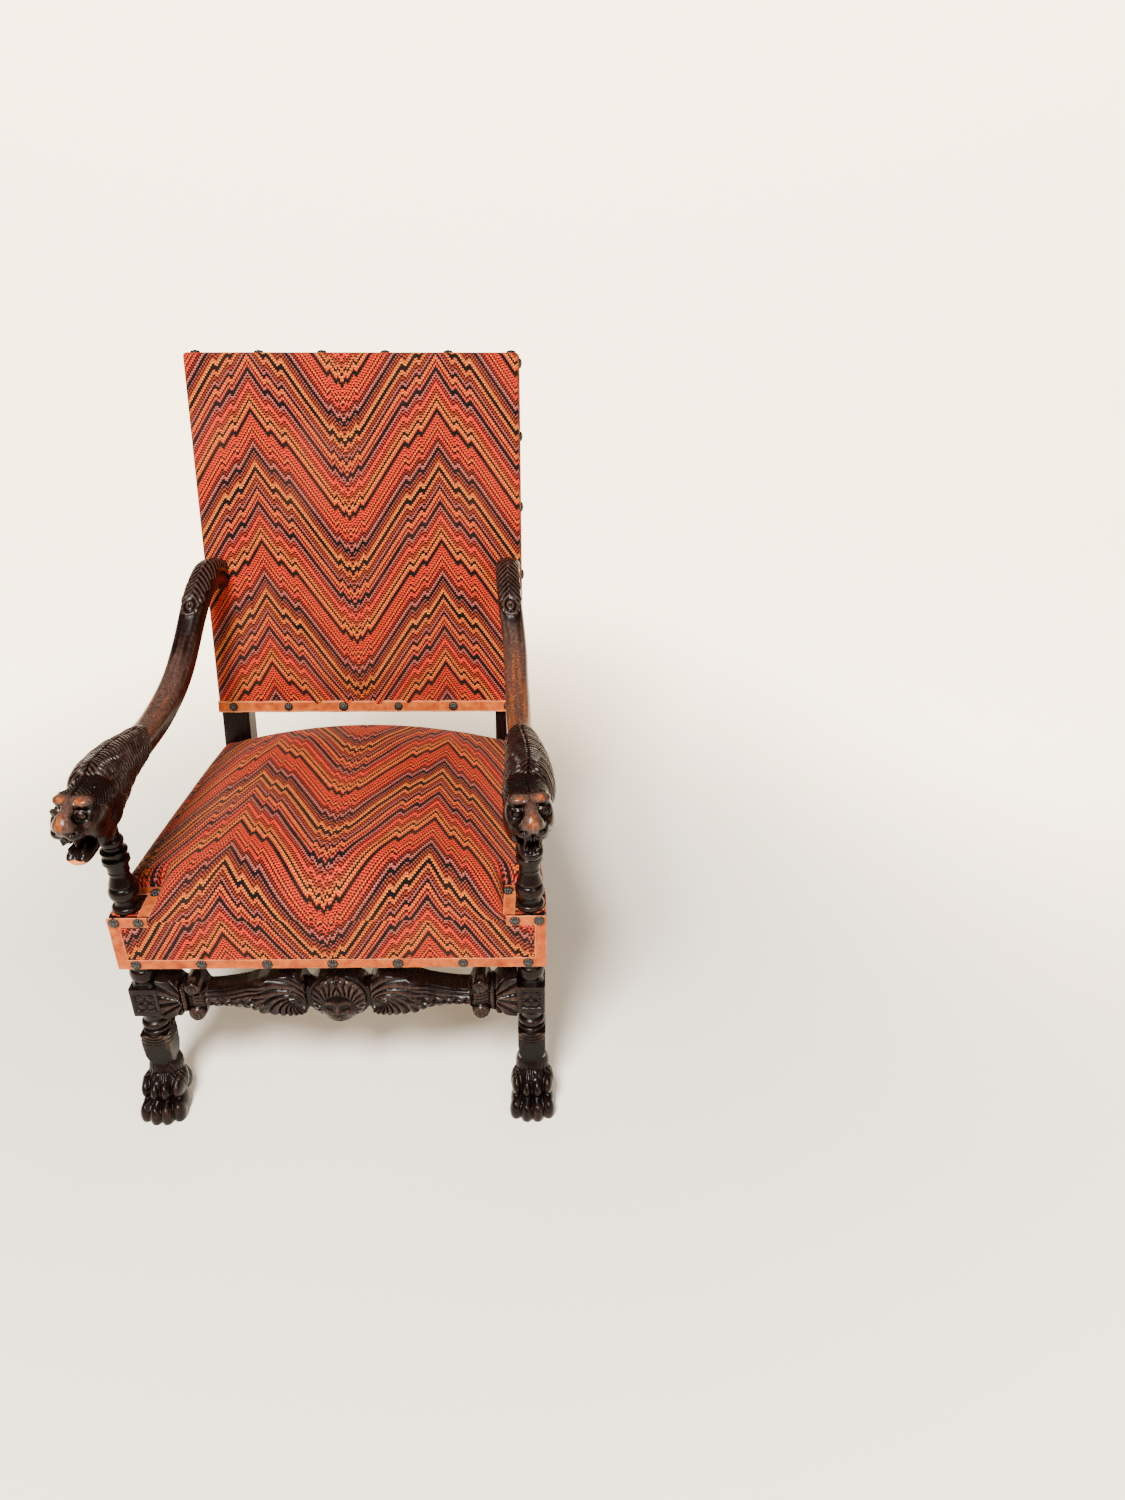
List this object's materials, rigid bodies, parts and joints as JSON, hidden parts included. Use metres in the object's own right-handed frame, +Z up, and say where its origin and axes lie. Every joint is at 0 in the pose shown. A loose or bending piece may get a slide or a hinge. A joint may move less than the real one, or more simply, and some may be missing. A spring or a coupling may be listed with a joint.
{
  "type": "carved open armchair",
  "caption": "High-backed upholstered open armchair: lion-head arms on turned posts with paw feet, a carved mask stretcher, and flame-stitch covers edged with nailed braid.",
  "frame": {"origin": "On the floor, under the middle of the chair's overall length and width", "axes": "+X to the right as seen from the front, which is the sitter's left; +Y from the front of the seat to the back; +Z up"},
  "size_m": [0.7374, 0.8476, 1.1793],
  "materials": {
    "carved_walnut": "old dark stain and wax, worn through to orange brown on the high points",
    "frame_beech": "sawn and planed, unfinished",
    "peg_oak": "riven, stained with the frame",
    "jute_webbing": "woven herringbone strap",
    "hessian": "coarse plain weave",
    "outside_cloth": "plain brown cotton",
    "horsehair_pad": "curled hair and straw under scrim",
    "flame_stitch": "wool canvas work in upright flame stitch",
    "salmon_braid": "woven twill tape, faded and frayed",
    "nail_iron": "dull dark iron rosettes"
  },
  "bodies": {
    "root": {"front_post_left": "carved_walnut", "front_post_right": "carved_walnut", "paw_foot_left": "carved_walnut", "paw_foot_right": "carved_walnut", "arm_left": "carved_walnut", "arm_right": "carved_walnut", "back_post_left": "carved_walnut", "back_post_right": "carved_walnut", "front_stretcher": "carved_walnut", "side_stretcher_left": "carved_walnut", "side_stretcher_right": "carved_walnut", "cross_stretcher": "carved_walnut", "seat_rail_front": "frame_beech", "seat_rail_back": "frame_beech", "seat_rail_left": "frame_beech", "seat_rail_right": "frame_beech", "corner_block_front_left": "frame_beech", "corner_block_front_right": "frame_beech", "corner_block_back_left": "frame_beech", "corner_block_back_right": "frame_beech", "back_rail_top": "frame_beech", "back_rail_bottom": "frame_beech", "joint_pegs": "peg_oak", "seat_webbing": "jute_webbing", "seat_hessian": "hessian", "seat_stuffing": "horsehair_pad", "seat_cover": "flame_stitch", "dust_cover": "hessian", "seat_gimp": "salmon_braid", "seat_nails": "nail_iron", "back_webbing": "jute_webbing", "back_hessian": "hessian", "back_stuffing": "horsehair_pad", "back_cover": "flame_stitch", "outside_back": "outside_cloth", "back_gimp": "salmon_braid", "back_nails": "nail_iron"}
  },
  "joints": []
}
